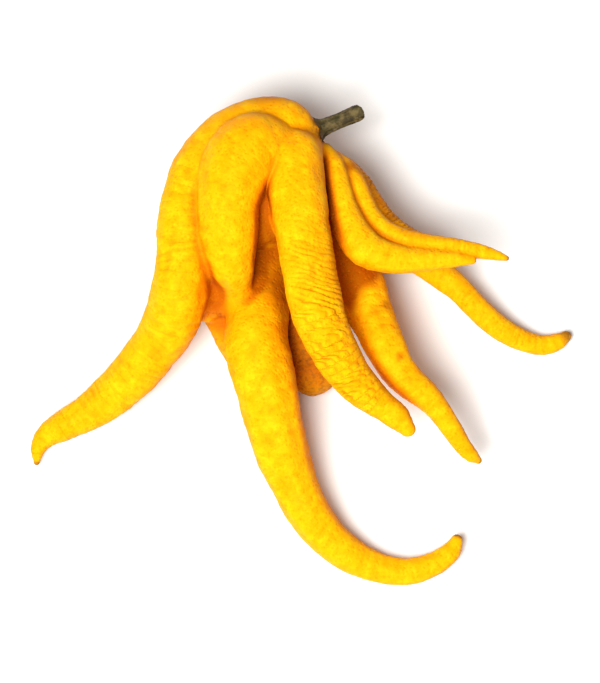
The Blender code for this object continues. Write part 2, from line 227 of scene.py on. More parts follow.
def noise(p, size, seed=0):
    """Smooth gradient noise of about -1..1 with features of that size."""
    q = p / size
    base = np.floor(q).astype(np.int64)
    f = q - base
    u = f * f * f * (f * (f * 6 - 15) + 10)
    total = np.zeros(len(p))
    for dx in (0, 1):
        for dy in (0, 1):
            for dz in (0, 1):
                ix, iy, iz = base[:, 0] + dx, base[:, 1] + dy, base[:, 2] + dz
                a = lattice(ix, iy, iz, seed * 3 + 1) * 2 * math.pi
                z = lattice(ix, iy, iz, seed * 3 + 2) * 2 - 1
                r = np.sqrt(1 - z * z)
                dot = (r * np.cos(a) * (f[:, 0] - dx) + r * np.sin(a) * (f[:, 1] - dy) + z * (f[:, 2] - dz))
                w = ((u[:, 0] if dx else 1 - u[:, 0]) * (u[:, 1] if dy else 1 - u[:, 1])
                     * (u[:, 2] if dz else 1 - u[:, 2]))
                total += w * dot
    return total * 1.6


# ---------------------------------------------------------------- the skeleton
TOWARD = laid([(0, -1, 0)])[0]          # out of the fruit's upper side
KEY_LIGHT_SIDE = np.array([-0.36, -0.30, 0.883])  # the side the key light falls on; the flanks turned from it get painted shade
SEAT_ROW = laid([SEAT])[0] + REST
AXIS_ROW = laid([SEAT_AXIS / np.linalg.norm(SEAT_AXIS)])[0]


class Finger:
    def __init__(self, index, name):
        line = centre_line(FINGERS[name], 3.0)
        self.p = laid(line[:, :3]) + REST
        self.r = line[:, 3].copy()
        step = np.linalg.norm(np.diff(self.p, axis=0), axis=1)
        self.s = np.concatenate([[0], np.cumsum(step)])
        self.length = self.s[-1]
        # slight swellings along the finger
        along = np.zeros((len(self.s), 3))
        along[:, 0] = self.s
        along[:, 1] = index * 37.0
        share = self.s / self.length
        swell = 0.030 * noise(along, 13.0, 5) + 0.020 * noise(along, 6.5, 6)
        self.r *= 1 + swell * smoothstep(0.12, 0.3, share) * smoothstep(1.0, 0.93, share)
        tangent = np.gradient(self.p, axis=0)
        tangent /= np.linalg.norm(tangent, axis=1)[:, None]
        self.t = tangent
        self.end = self.p[-1] + tangent[-1] * self.r[-1]


SKELETON = [Finger(i, n) for i, n in enumerate(NAMES)]


# ------------------------------------------------------------- the fused field
# Where neighbouring fingers stay grown together, with only a shallow valley
# between them: (across, back, up) of the middle, reach and extra width in mm.
GROWN_TOGETHER = [(-38, -18, 40, 12, 0.5), (-33, -18, 58, 13, 0.25), (-35, -8, 29, 8, 1.4),
                  (-34, 2, 14, 10, 1.8), (-24, -9, 16, 8, 0.8)]


def merge_width(x, y, z):
    """How softly the fingers run into each other, in mm."""
    width = 0.52 + 0.15 * np.exp(-((x - SEAT_ROW[0]) ** 2 + (y - SEAT_ROW[1]) ** 2 + (z - SEAT_ROW[2]) ** 2) / 12.0 ** 2)
    for spot in GROWN_TOGETHER:
        c = laid([spot[:3]])[0] + REST
        width = width + spot[4] * np.exp(-((x - c[0]) ** 2 + (y - c[1]) ** 2 + (z - c[2]) ** 2) / spot[3] ** 2)
    return width


def build_field():
    pts = np.vstack([f.p for f in SKELETON])
    rad = np.concatenate([f.r for f in SKELETON])
    palm = laid([c[:3] for c in PALM]) + REST
    palm_r = np.array([c[3] for c in PALM], float)
    lo = np.minimum((pts - rad[:, None]).min(0), (palm - palm_r[:, None]).min(0)) - 3
    hi = np.maximum((pts + rad[:, None]).max(0), (palm + palm_r[:, None]).max(0)) + 3
    lo[2] = -3.0
    n = np.ceil((hi - lo) / GRAIN).astype(int) + 1
    axes = [(lo[k] + GRAIN * np.arange(n[k])).astype(np.float32) for k in range(3)]
    X, Y, Z = np.meshgrid(*axes, indexing="ij", sparse=True)
    seat_d = np.sqrt((X - SEAT_ROW[0]) ** 2 + (Y - SEAT_ROW[1]) ** 2 + (Z - SEAT_ROW[2]) ** 2)
    width = merge_width(X, Y, Z).astype(np.float32)
    total = np.zeros(tuple(n), np.float32)
    reach = 7.0

    def span(low, high):
        i0 = np.maximum(np.floor((low - lo) / GRAIN).astype(int), 0)
        i1 = np.minimum(np.ceil((high - lo) / GRAIN).astype(int) + 1, n)
        return i0, i1

    def local(a, b, ra, rb):
        low = np.minimum(a, b) - max(ra, rb) - reach
        high = np.maximum(a, b) + max(ra, rb) + reach
        i0, i1 = span(low, high)
        x, y, z = (axes[k][i0[k]:i1[k]].astype(np.float32) for k in range(3))
        px = (x - a[0])[:, None, None]
        py = (y - a[1])[None, :, None]
        pz = (z - a[2])[None, None, :]
        d = (b - a).astype(np.float32)
        dd = float(d @ d)
        if dd < 1e-9:
            return i0, i1, np.sqrt(px * px + py * py + pz * pz) - np.float32(ra)
        h = np.clip((px * d[0] + py * d[1] + pz * d[2]) / dd, 0, 1)
        dist = np.sqrt((px - h * d[0]) ** 2 + (py - h * d[1]) ** 2 + (pz - h * d[2]) ** 2)
        return i0, i1, dist - (np.float32(ra) + h * np.float32(rb - ra))

    groups = [[(f.p[i], f.p[i + 1], f.r[i], f.r[i + 1]) for i in range(len(f.p) - 1)] for f in SKELETON]
    groups.append([(c, c, r, r) for c, r in zip(palm, palm_r)])
    for group in groups:
        low = np.min([np.minimum(a, b) - max(ra, rb) for a, b, ra, rb in group], axis=0) - reach
        high = np.max([np.maximum(a, b) + max(ra, rb) for a, b, ra, rb in group], axis=0) + reach
        g0, g1 = span(low, high)
        dist = np.full(tuple(g1 - g0), 99, np.float32)
        for a, b, ra, rb in group:
            i0, i1, d = local(a, b, ra, rb)
            view = dist[i0[0] - g0[0]:i1[0] - g0[0], i0[1] - g0[1]:i1[1] - g0[1], i0[2] - g0[2]:i1[2] - g0[2]]
            np.minimum(view, d, out=view)
        w = width[g0[0]:g1[0], g0[1]:g1[1], g0[2]:g1[2]]
        total[g0[0]:g1[0], g0[1]:g1[1], g0[2]:g1[2]] += np.where(dist < 90, np.exp(-np.maximum(dist, -40) / w), 0)
    field = np.where(total > 1e-12, -width * np.log(np.maximum(total, 1e-12)), 30).astype(np.float32)
    # shallow dent round the stalk
    rel = [X - SEAT_ROW[0], Y - SEAT_ROW[1], Z - SEAT_ROW[2]]
    up = rel[0] * AXIS_ROW[0] + rel[1] * AXIS_ROW[1] + rel[2] * AXIS_ROW[2]
    side = np.sqrt(np.maximum(seat_d ** 2 - up ** 2, 0))
    bowl = 0.55 + 0.020 * side ** 2 - up
    bowl = np.maximum(bowl, side - 9.5)
    field = smooth_max(field, -bowl.astype(np.float32), 0.8)
    solid = field.copy()
    # flats where it lies on the ground
    field = smooth_max(field, -Z + 0.0 * field, 0.5)
    return lo, field, solid


def smooth_max(a, b, k):
    h = np.clip(0.5 + 0.5 * (a - b) / k, 0, 1)
    return b + (a - b) * h + k * h * (1 - h)


def sample(field, lo, p):
    """Trilinear reading of the grid."""
    q = (p - lo) / GRAIN
    top = np.array(field.shape) - 2
    i = np.clip(np.floor(q).astype(int), 0, top)
    f = np.clip(q - i, 0, 1).astype(np.float32)
    out = 0
    for dx in (0, 1):
        wx = f[:, 0] if dx else 1 - f[:, 0]
        for dy in (0, 1):
            wy = f[:, 1] if dy else 1 - f[:, 1]
            for dz in (0, 1):
                wz = f[:, 2] if dz else 1 - f[:, 2]
                out = out + wx * wy * wz * field[i[:, 0] + dx, i[:, 1] + dy, i[:, 2] + dz]
    return out


def slope(field, lo, p, e):
    g = np.empty((len(p), 3))
    for k in range(3):
        d = np.zeros(3)
        d[k] = e
        g[:, k] = (sample(field, lo, p + d) - sample(field, lo, p - d)) / (2 * e)
    return g


def unpinch(field):
    """Fill the odd grid point where two sheets of the surface would share one edge, so the mesh closes cleanly."""
    for _ in range(12):
        found = 0
        for k in range(3):
            u, v = (k + 1) % 3, (k + 2) % 3
            inside = field < 0

            def corner(du, dv):
                s = [slice(None)] * 3
                s[u] = slice(du, field.shape[u] - 1 + du)
                s[v] = slice(dv, field.shape[v] - 1 + dv)
                return inside[tuple(s)]

            a, b = corner(0, 0), corner(1, 0)
            at = np.argwhere((a == corner(1, 1)) & (b == corner(0, 1)) & (a != b))
            if not len(at):
                continue
            found += len(at)
            out = ~a[at[:, 0], at[:, 1], at[:, 2]]     # is the first pair the outside one
            first, second = at.copy(), at.copy()
            first[:, u] += np.where(out, 0, 1)
            second[:, u] += np.where(out, 1, 0)
            second[:, v] += 1
            f = field[first[:, 0], first[:, 1], first[:, 2]]
            g = field[second[:, 0], second[:, 1], second[:, 2]]
            fill = np.where((f <= g)[:, None], first, second)
            field[fill[:, 0], fill[:, 1], fill[:, 2]] = -0.05
        if not found:
            break
    return field


def surface_nets(field, lo):
    """Quads of the field's zero surface, one point in each cell it passes through."""
    inside = field < 0
    c = np.zeros(tuple(np.array(field.shape) - 1), np.uint8)
    for dx in (0, 1):
        for dy in (0, 1):
            for dz in (0, 1):
                c += inside[dx:dx + c.shape[0], dy:dy + c.shape[1], dz:dz + c.shape[2]]
    cells = np.argwhere((c > 0) & (c < 8))
    number = np.full(c.shape, -1, np.int64)
    number[cells[:, 0], cells[:, 1], cells[:, 2]] = np.arange(len(cells))
    corners = np.array([(x, y, z) for x in (0, 1) for y in (0, 1) for z in (0, 1)])
    pos = np.zeros((len(cells), 3))
    cnt = np.zeros(len(cells))
    for a in corners:
        for k in range(3):
            if a[k]:
                continue
            b = a.copy()
            b[k] = 1
            fa = field[cells[:, 0] + a[0], cells[:, 1] + a[1], cells[:, 2] + a[2]]
            fb = field[cells[:, 0] + b[0], cells[:, 1] + b[1], cells[:, 2] + b[2]]
            m = (fa < 0) != (fb < 0)
            t = fa[m] / (fa[m] - fb[m])
            pos[m] += a + t[:, None] * (b - a)
            cnt[m] += 1
    verts = (cells + pos / cnt[:, None]) * GRAIN + lo
    quads = []
    for k in range(3):
        u, v = (k + 1) % 3, (k + 2) % 3
        s0 = [slice(None)] * 3
        s1 = [slice(None)] * 3
        s0[k], s1[k] = slice(0, -1), slice(1, None)
        a, b = inside[tuple(s0)], inside[tuple(s1)]
        edge = np.argwhere(a != b)
        edge = edge[(edge[:, u] > 0) & (edge[:, v] > 0)
                    & (edge[:, u] < c.shape[u]) & (edge[:, v] < c.shape[v])]
        flip = b[edge[:, 0], edge[:, 1], edge[:, 2]]

        def at(du, dv):
            e = edge.copy()
            e[:, u] -= du
            e[:, v] -= dv
            return number[e[:, 0], e[:, 1], e[:, 2]]

        q = np.stack([at(1, 1), at(0, 1), at(0, 0), at(1, 0)], axis=1)
        q[flip] = q[flip][:, ::-1]
        quads.append(q)
    return verts, np.vstack(quads)


def relax(verts, quads, turns):
    """Even out the points along the surface."""
    e = np.vstack([quads[:, [0, 1]], quads[:, [1, 2]], quads[:, [2, 3]], quads[:, [3, 0]]])
    n = len(verts)
    deg = np.maximum(np.bincount(e[:, 0], minlength=n) + np.bincount(e[:, 1], minlength=n), 1)
    for _ in range(turns):
        mean = np.empty_like(verts)
        for k in range(3):
            mean[:, k] = (np.bincount(e[:, 0], verts[e[:, 1], k], n) + np.bincount(e[:, 1], verts[e[:, 0], k], n)) / deg
        verts = verts + 0.6 * (mean - verts)
    return verts


def place_on_fingers(p):
    """Nearest finger of each point: number, share of its length, arc length, angle round it, radius there, and
    how clearly it is that finger's."""
    best = np.full(len(p), 1e9)
    second = np.full(len(p), 1e9)
    which = np.zeros(len(p), int)
    share = np.zeros(len(p))
    for i, f in enumerate(SKELETON):
        near = np.all((p > f.p.min(0) - 22) & (p < f.p.max(0) + 22), axis=1)
        idx = np.where(near)[0]
        if not len(idx):
            continue
        q = p[idx]
        d_best = np.full(len(q), 1e9)
        k_best = np.zeros(len(q), int)
        h_best = np.zeros(len(q))
        for k in range(len(f.p) - 1):
            d = f.p[k + 1] - f.p[k]
            h = np.clip(((q - f.p[k]) @ d) / (d @ d), 0, 1)
            dist = np.linalg.norm(q - f.p[k] - h[:, None] * d, axis=1) - (f.r[k] + h * (f.r[k + 1] - f.r[k]))
            m = dist < d_best
            d_best[m], k_best[m], h_best[m] = dist[m], k, h[m]
        better = d_best < best[idx]
        second[idx] = np.where(better, best[idx], np.minimum(second[idx], d_best))
        ib = idx[better]
        best[ib] = d_best[better]
        which[ib] = i
        share[ib] = (k_best + h_best)[better]
    s = np.zeros(len(p))
    ang = np.zeros(len(p))
    rad = np.zeros(len(p))
    frac = np.zeros(len(p))
    for i, f in enumerate(SKELETON):
        m = which == i
        if not m.any():
            continue
        k = np.minimum(share[m].astype(int), len(f.p) - 2)
        h = (share[m] - k)[:, None]
        c = f.p[k] * (1 - h) + f.p[k + 1] * h
        t = f.t[k] * (1 - h) + f.t[k + 1] * h
        t /= np.linalg.norm(t, axis=1)[:, None]
        up = TOWARD - (t @ TOWARD)[:, None] * t
        up /= np.maximum(np.linalg.norm(up, axis=1), 1e-6)[:, None]
        side = np.cross(up, t)
        d = p[m] - c
        ang[m] = np.arctan2((d * side).sum(1), (d * up).sum(1))
        s[m] = f.s[k] * (1 - h[:, 0]) + f.s[k + 1] * h[:, 0]
        rad[m] = f.r[k] * (1 - h[:, 0]) + f.r[k + 1] * h[:, 0]
        frac[m] = s[m] / f.length
    own = smoothstep(0.0, 2.5, second - best)
    return which, frac, s, ang, rad, own


def wrinkles(p, where):
    """Phase of the wrinkles at each point, how plain they are there (0..1) and how deep they may be in mm."""
    which, frac, s, ang, rad, own = where
    phase, mask, deep = np.zeros(len(p)), np.zeros(len(p)), np.zeros(len(p))
    for i, name in enumerate(NAMES):
        m = which == i
        if not m.any():
            continue
        f0, f1, depth, gap, side, reach, slant, plain = WRINKLES[name]
        pm = p[m]
        warp = noise(pm, 11.0, 31 + i) * 1.6 + noise(pm, 4.6, 51 + i) * 0.55
        phase[m] = (s[m] + slant * rad[m] * np.sin(ang[m]) + warp) / gap + 100
        band = smoothstep(f0, f0 + 0.22, frac[m]) * smoothstep(f1, f1 - 0.06, frac[m])
        middle = np.radians(side + WANDER.get(name, 0) * smoothstep(0.30, 0.80, frac[m]))
        turn = np.abs((ang[m] - middle + math.pi) % (2 * math.pi) - math.pi)
        around = 1 - 0.55 * smoothstep(0.6, 2.4, turn)
        if reach < 180:
            around = around * smoothstep(math.radians(reach), math.radians(reach) * 0.35, turn)
        floor = 0.27 + 0.38 * plain
        patch = floor + (1 - floor) * smoothstep(-0.45, 0.30, noise(pm, 12.0, 91 + i))
        mask[m] = band * around * patch * plain
        deep[m] = band * around * patch * depth
    return phase, mask * own, deep * own


def relief(p, where):
    """Height of the rind above its smooth form in mm."""
    which, frac, s, ang, rad, own = where
    free = smoothstep(0.0, 0.16, frac)
    thin = np.clip(rad / 8.0, 0.25, 1.2)
    height = 0.30 * noise(p, 9.0, 11) * thin
    height += 0.15 * noise(p, 4.2, 12) * thin
    height += 0.07 * noise(p, 2.1, 13)
    # soft ribs along the finger
    q = np.stack([s * 0.045 + which * 17.3, np.cos(ang) * 1.9, np.sin(ang) * 1.9], axis=1)
    height += 0.40 * noise(q, 1.0, 21) * thin * free
    phase, mask, deep = wrinkles(p, where)
    wave = np.abs((phase + 0.5) % 1.0 - 0.5) * 2          # 0 in a wrinkle, 1 between two
    height -= deep * (1 - smoothstep(0.0, 0.9, wave))
    return height * (0.35 + 0.65 * own)


def to_mesh(name, verts, faces):
    mesh = bpy.data.meshes.new(name)
    n, k = len(faces), faces.shape[1]
    mesh.vertices.add(len(verts))
    mesh.vertices.foreach_set("co", (verts * 0.001).astype(np.float32).ravel())
    mesh.loops.add(n * k)
    mesh.loops.foreach_set("vertex_index", faces.astype(np.int32).ravel())
    mesh.polygons.add(n)
    mesh.polygons.foreach_set("loop_start", np.arange(0, n * k, k, dtype=np.int32))
    mesh.update(calc_edges=True)
    mesh.validate()
    return mesh


def add_object(name, mesh):
    ob = bpy.data.objects.new(name, mesh)
    bpy.context.scene.collection.objects.link(ob)
    return ob


def paint(mesh, name, rgb):
    """Store a colour at every point."""
    attr = mesh.attributes.new(name, 'FLOAT_COLOR', 'POINT')
    data = np.ones((len(mesh.vertices), 4), np.float32)
    data[:, :3] = rgb
    attr.data.foreach_set("color", data.ravel())


def openness(solid, lo, p, n):
    """How much open space is above each point: 1 on a crest, toward 0 in a fold.

    The first value looks a few mm out along the skin's normal, the second up
    to 17 mm out of the fruit's upper side, so a hollow between fingers shows."""
    hi = lo + (np.array(solid.shape) - 1) * GRAIN

    def clear(q):
        inside = np.clip(q, lo, hi)
        return sample(solid, lo, inside) + np.linalg.norm(q - inside, axis=1)

    facing = n @ TOWARD
    up = n + (1.6 * np.clip(facing + 0.25, 0, 1))[:, None] * TOWARD
    up /= np.linalg.norm(up, axis=1)[:, None]
    out = []
    for way, reach in ((n, ((0.9, 1.0), (2.0, 1.0), (4.0, 1.0), (7.5, 0.9))), (up, ((8.0, 1.0), (12.0, 1.0), (17.0, 0.8)))):
        total = np.zeros(len(p))
        for h, w in reach:
            total += w * np.clip(clear(p + way * h) / (h * (way * n).sum(1)), -0.5, 1.0)
        out.append(np.clip(total / sum(w for _, w in reach), 0, 1))
    return out


def make_rind():
    lo, field, solid = build_field()
    field = unpinch(field)
    verts, quads = surface_nets(field, lo)
    verts = relax(verts, quads, 2)
    for _ in range(2):
        g = slope(field, lo, verts, GRAIN * 0.6)
        gg = np.maximum((g * g).sum(1), 0.2)
        verts = verts - (sample(field, lo, verts) / gg)[:, None] * g
    g = slope(field, lo, verts, GRAIN)
    n = g / np.maximum(np.linalg.norm(g, axis=1), 1e-6)[:, None]
    where = place_on_fingers(verts)
    height = relief(verts, where)
    height *= smoothstep(0.0, 1.5, verts[:, 2])      # flats stay flat
    moved = verts + n * height[:, None]
    moved[:, 2] = np.maximum(moved[:, 2], 0.0)

    mesh = to_mesh("rind", moved, quads)
    ob = add_object("rind", mesh)
    faces = 2 * len(quads)
    if faces > FACES:
        mod = ob.modifiers.new("thin", 'DECIMATE')
        mod.ratio = FACES / faces
        dg = bpy.context.evaluated_depsgraph_get()
        small = bpy.data.meshes.new_from_object(ob.evaluated_get(dg))
        ob.modifiers.clear()
        ob.data = small
        bpy.data.meshes.remove(mesh)
        mesh = small
        mesh.name = "rind"
    mesh.shade_smooth()

    p = np.empty(len(mesh.vertices) * 3, np.float32)
    mesh.vertices.foreach_get("co", p)
    p = p.reshape(-1, 3).astype(float) * 1000
    g = slope(solid, lo, p, GRAIN)
    n = g / np.maximum(np.linalg.norm(g, axis=1), 1e-6)[:, None]
    where = place_on_fingers(p)
    which, frac, s, ang, rad, own = where
    phase, mask, deep = wrinkles(p, where)
    open_, wide = openness(solid, lo, p, n)
    seat = np.linalg.norm(p - SEAT_ROW, axis=1)
    left = np.linalg.norm(p - np.array([f.end for f in SKELETON])[which], axis=1) + 0.5 * noise(p, 2.2, 201)
    dry = np.array([DRY_TIP[n] for n in NAMES])[which]
    tip = smoothstep(1.0, 0.4, left / np.maximum(dry, 0.01)) * (dry > 0)
    tone = 0.5 + 0.5 * np.clip(noise(p, 15.0, 301) + 0.6 * noise(p, 6.0, 302), -1, 1)
    # painted light: the tone of those fingers is raised toward a paler lemon yellow
    tone = tone + 1.15 * np.array([PAINTED_LIGHT_PALER.get(n, 0.0) for n in NAMES])[which] * own
    paint(mesh, "form", np.stack([open_, tip, np.clip(seat / 60.0, 0, 1)], axis=1))
    shaded_flank = smoothstep(0.32, -0.20, n @ KEY_LIGHT_SIDE)                # painted shade: 1 on the sides turned from the key light and on the back
    shaded_flank *= 1 - 0.35 * smoothstep(-0.3, -0.8, n @ TOWARD)
    paint(mesh, "place", np.stack([tone, shaded_flank, own], axis=1))
    worn_and_shaded = np.array([WORN_AND_SHADED.get(n, 0.0) for n in NAMES])[which] * smoothstep(0.0, 0.12, frac)
    paint(mesh, "wrinkle", np.stack([phase, mask, worn_and_shaded * own], axis=1))
    # painted shade: deep orange in the hollow between the fingers' roots, less on fingers that stand in the light, plus
    # the spots of painted shade and three brownish blotches listed above
    inner = np.linalg.norm(p - (laid([(-4, -2, 36)])[0] + REST), axis=1)
    lone = np.array([LONE.get(n, 0.0) for n in NAMES])[which] * own
    shade_and_blotches = (1 - wide) * smoothstep(43, 23, inner) * (1 - lone)
    for x, y, z, reach, more in SHADE_AND_BLOTCH_SPOTS:
        away = ((p - (laid([(x, y, z)])[0] + REST)) ** 2).sum(1)
        shade_and_blotches = shade_and_blotches + more * np.exp(-away / reach ** 2)
    paint(mesh, "shade", np.stack([shade_and_blotches, shade_and_blotches, shade_and_blotches], axis=1))
    return ob, solid, lo


def seat_frame():
    """Rows: the seat's own x, y and z axes in the row frame."""
    turn = np.array(Vector(SEAT_AXIS).normalized().to_track_quat('Z', 'Y').to_matrix())
    return np.stack([laid([turn[:, k]])[0] for k in range(3)])


def from_seat(local):
    return local @ seat_frame() + SEAT_ROW


def ring_faces(rows, around, start=0):
    """Quads between rows of points that run round in closed rings."""
    i, j = np.meshgrid(np.arange(rows - 1), np.arange(around), indexing="ij")
    k = (j + 1) % around
    a, b, c, d = i * around + j, i * around + k, (i + 1) * around + k, (i + 1) * around + j
    return np.stack([a, b, c, d], axis=-1).reshape(-1, 4) + start


def closed_rings(name, rings):
    """Closed body from rings of points, fanned shut at both ends."""
    rows, around = rings.shape[:2]
    verts = rings.reshape(-1, 3)
    first, last = rings[0].mean(0), rings[-1].mean(0)
    verts = np.vstack([verts, first, last])
    j = np.arange(around)
    k = (j + 1) % around
    n = rows * around
    fans = [(n, int(b), int(a)) for a, b in zip(j, k)]
    fans += [(n + 1, int((rows - 1) * around + a), int((rows - 1) * around + b)) for a, b in zip(j, k)]
    mesh = bpy.data.meshes.new(name)
    mesh.from_pydata((verts * 0.001).tolist(), [], ring_faces(rows, around).tolist() + fans)
    mesh.validate()
    mesh.shade_smooth()
    return mesh


def make_stalk():
    """Ridged stalk with bark specks and a slanted cut end."""
    along, around = 90, 96
    a = 2 * math.pi * np.arange(around) / around
    foot = 0.6
    tan = math.tan(STALK_CUT)

    def point(z, scale=1.0):
        t = np.clip((z - STALK_FOOT) / (STALK_LENGTH + 2), -0.2, 1)
        flare = 1 + 0.22 * np.exp(-6 * (t + 0.1)) + 0.10 * np.abs(t) ** 3
        r = STALK_RADIUS * flare
        q = np.stack([np.cos(a) * 1.6, np.sin(a) * 1.6, z * 0.10], axis=1)
        r = r * (1 + 0.075 * noise(q, 0.55, 411) + 0.035 * noise(q * [1.9, 1.9, 1.0], 0.55, 412))
        spot = np.stack([np.cos(a) * 3.0, np.sin(a) * 3.0, z], axis=1)
        r = r + 0.16 * smoothstep(0.25, 0.7, noise(spot * [1, 1, 0.8], 1.3, 413)) + 0.05 * noise(spot, 0.7, 414)
        return np.stack([-STALK_BEND * t * np.abs(t) + r * scale * np.cos(a), r * scale * np.sin(a), z], axis=1)

    top = np.full(around, STALK_FOOT + STALK_LENGTH)
    for _ in range(4):
        x = point(top)[:, 0]
        top = STALK_FOOT + STALK_LENGTH - tan * (x + STALK_BEND) + 0.12 * np.sin(2 * a + 1) + 0.07 * np.sin(5 * a)
    rings, cut = [], []
    for u in np.linspace(0, 1, along) ** 0.92:
        rings.append(point(foot + (top - foot) * u))
        cut.append(0.0)
    rim = rings[-1]
    middle = rim.mean(0)
    for share, drop in ((0.985, -0.05), (0.95, -0.02), (0.91, 0.10), (0.86, 0.22), (0.80, 0.22), (0.66, 0.16),
                        (0.50, 0.20), (0.34, 0.16), (0.22, 0.18), (0.13, 0.38), (0.06, 0.45)):
        ring = middle + (rim - middle) * share
        ring[:, 2] -= drop + 0.04 * np.sin(9 * a + 20 * share)
        rings.append(ring)
        cut.append(1.0 if share < 0.93 else 0.3)
    rings = np.array(rings)
    mesh = closed_rings("stalk", from_seat(rings.reshape(-1, 3)).reshape(rings.shape))
    flat = rings.reshape(-1, 3)
    height = np.repeat(np.array(cut), around)
    side = np.tile(a, len(rings))
    info = np.stack([np.cos(side) * 0.5 + 0.5, height, np.clip(flat[:, 2] / 20.0, 0, 1)], axis=1)
    info = np.vstack([info, info[:around].mean(0), [0.5, 1.0, 0.8]])
    paint(mesh, "stalk", info)
    return add_object("stalk", mesh)


def make_calyx(solid, lo):
    """Five short lobes that hug the crown round the foot of the stalk."""
    around, rings_n = 120, 26
    a = 2 * math.pi * np.arange(around) / around
    lobe = (0.5 + 0.5 * np.cos(5 * a + 0.4)) ** 0.75
    edge = 4.1 + 1.75 * lobe + 0.22 * np.sin(3 * a + 1.0) + 0.14 * np.sin(11 * a) + 0.10 * np.sin(23 * a + 2)
    share = np.linspace(0.10, 1.0, rings_n)
    flat = np.stack([share[:, None] * edge * np.cos(a), share[:, None] * edge * np.sin(a),
                     np.zeros((rings_n, around))], axis=-1)
    # height of the fruit under every point
    levels = np.arange(3.0, -6.5, -0.1)
    skin = np.full((rings_n, around), -6.5)
    found = np.zeros((rings_n, around), bool)
    for z in levels:
        q = flat.reshape(-1, 3).copy()
        q[:, 2] = z
        inside = (sample(solid, lo, from_seat(q)) < 0).reshape(rings_n, around)
        skin[inside & ~found] = z
        found |= inside
    r = np.linalg.norm(flat[..., :2], axis=-1)
    # lobes stiffen where the crown falls away from them
    level = skin.copy()
    for i in range(1, rings_n):
        level[i] = np.maximum(level[i], level[i - 1] - 0.95 * (r[i] - r[i - 1]))
    for _ in range(3):
        level = (np.roll(level, 1, 1) + 2 * level + np.roll(level, -1, 1)) / 4
    s = share[:, None]
    thick = 0.38 + 1.25 * smoothstep(0.95, 0.50, s) + 0.25 * lobe * smoothstep(1.0, 0.7, s)
    rib = 0.14 * np.cos(5 * a + 0.4) + 0.07 * np.sin(13 * a + 4 * s) + 0.05 * np.sin(29 * a)
    lift = 0.30 * smoothstep(0.8, 1.0, s) * (0.6 + 0.4 * np.sin(3 * a + 2))
    upper = level + thick + rib * smoothstep(0.2, 0.6, s) + lift
    lower = np.minimum(upper - 0.34, np.where(s > 0.75, upper - 0.34, level - 0.25))
    top, under = flat.copy(), flat.copy()
    top[..., 2], under[..., 2] = upper, lower
    top[-1, :, :2] *= 0.985
    rim = flat[-1].copy()
    rim[:, :2] *= 1.01
    rim[:, 2] = (upper[-1] + lower[-1]) / 2
    rings = np.concatenate([under, rim[None], top[::-1]], axis=0)
    mesh = closed_rings("calyx_star", from_seat(rings.reshape(-1, 3)).reshape(rings.shape))
    reach = np.concatenate([share, [1.0], share[::-1]])
    info = np.stack([np.repeat(reach, around), np.tile(lobe, len(reach)), np.zeros(len(reach) * around)], axis=1)
    info = np.vstack([info, [0, 0, 0], [0, 0, 0]])
    paint(mesh, "calyx", info)
    return add_object("calyx_star", mesh)


# ------------------------------------------------------------------- materials

# ------------------------------------------------------------------- materials
class Nodes:
    """Short-hand for building a node material."""

    def __init__(self, name):
        self.mat = bpy.data.materials.new(name)
        self.mat.use_nodes = True
        self.tree = self.mat.node_tree
        self.bsdf = self.tree.nodes["Principled BSDF"]

    def new(self, kind, **settings):
        node = self.tree.nodes.new(kind)
        for key, value in settings.items():
            if key in node.inputs and not hasattr(node, key):
                node.inputs[key].default_value = value
            else:
                setattr(node, key, value)
        return node

    def link(self, a, b):
        self.tree.links.new(a, b)

    def put(self, socket, value):
        if isinstance(value, bpy.types.NodeSocket):
            self.link(value, socket)
        else:
            socket.default_value = value

    def math(self, op, a, b=0.0, c=0.0, clamp=False):
        node = self.new("ShaderNodeMath", operation=op, use_clamp=clamp)
        for k, value in enumerate((a, b, c)):
            self.put(node.inputs[k], value)
        return node.outputs[0]

    def mix(self, factor, a, b, blend='MIX'):
        node = self.new("ShaderNodeMix", data_type='RGBA', blend_type=blend)
        self.put(node.inputs[0], factor)
        self.put(node.inputs[6], a)
        self.put(node.inputs[7], b)
        return node.outputs[2]

    def ramp(self, value, stops, mode='LINEAR'):
        node = self.new("ShaderNodeValToRGB")
        node.color_ramp.interpolation = mode
        elements = node.color_ramp.elements
        while len(elements) < len(stops):
            elements.new(0.5)
        for el, (pos, col) in zip(elements, stops):
            el.position = pos
            el.color = col if len(col) == 4 else (*col, 1)
        self.put(node.inputs[0], value)
        return node.outputs[0]

    def remap(self, value, a, b, c=0.0, d=1.0, smooth=False):
        node = self.new("ShaderNodeMapRange", interpolation_type='SMOOTHSTEP' if smooth else 'LINEAR')
        self.put(node.inputs[0], value)
        for k, x in enumerate((a, b, c, d)):
            node.inputs[k + 1].default_value = x
        return node.outputs[0]

    def noise(self, vector, scale, detail=3.0, rough=0.5):
        node = self.new("ShaderNodeTexNoise")
        self.put(node.inputs["Vector"], vector)
        node.inputs["Scale"].default_value = scale
        node.inputs["Detail"].default_value = detail
        node.inputs["Roughness"].default_value = rough
        return node.outputs["Fac"]

    def cells(self, vector, scale, feature='F1', randomness=1.0, smooth=None):
        node = self.new("ShaderNodeTexVoronoi", feature=feature)
        self.put(node.inputs["Vector"], vector)
        node.inputs["Scale"].default_value = scale
        node.inputs["Randomness"].default_value = randomness
        if smooth is not None:
            node.inputs["Smoothness"].default_value = smooth
        return node.outputs["Distance"]

    def bump(self, height, distance, strength=1.0, under=None):
        node = self.new("ShaderNodeBump")
        node.inputs["Strength"].default_value = strength
        node.inputs["Distance"].default_value = distance
        self.put(node.inputs["Height"], height)
        if under is not None:
            self.link(under, node.inputs["Normal"])
        return node.outputs["Normal"]

    def position(self):
        return self.new("ShaderNodeTexCoord").outputs["Object"]


def channels(k, name):
    """The three numbers stored at every point under that name."""
    split = k.new("ShaderNodeSeparateColor")
    k.link(k.new("ShaderNodeAttribute", attribute_name=name).outputs["Color"], split.inputs[0])
    return split.outputs[0], split.outputs[1], split.outputs[2]


